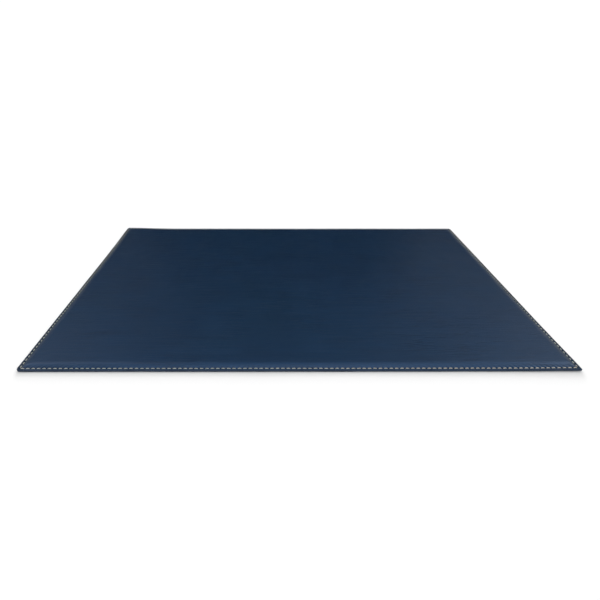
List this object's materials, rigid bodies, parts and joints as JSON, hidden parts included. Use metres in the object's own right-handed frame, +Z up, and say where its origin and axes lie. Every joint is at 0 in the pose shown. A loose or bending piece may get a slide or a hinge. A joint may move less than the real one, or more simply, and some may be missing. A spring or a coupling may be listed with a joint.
{
  "type": "desk mat",
  "caption": "Rectangular desk mat: a smooth leather top with a rolled border, stitched round the edge to a non-slip suede backing over a padded board.",
  "frame": {"origin": "centre of the underside, at the height of the desk", "axes": "+X along the long side to the sitter's right, +Y away from the sitter, +Z up out of the writing surface"},
  "size_m": [0.45, 0.3, 0.0036],
  "materials": {
    "leather": "navy smooth-grain leather, satin",
    "edge_paint": "dark edge paint, semi-gloss",
    "thread": "cream waxed thread",
    "foam": "thin grey foam, matt",
    "board": "brown fibreboard, matt",
    "suede": "charcoal non-slip suede, matt"
  },
  "bodies": {
    "root": {"top_leather": "leather", "edge_coat": "edge_paint", "needle_thread": "thread", "bobbin_thread": "thread", "foam_underlay": "foam", "stiffener_board": "board", "backing": "suede"}
  },
  "joints": []
}
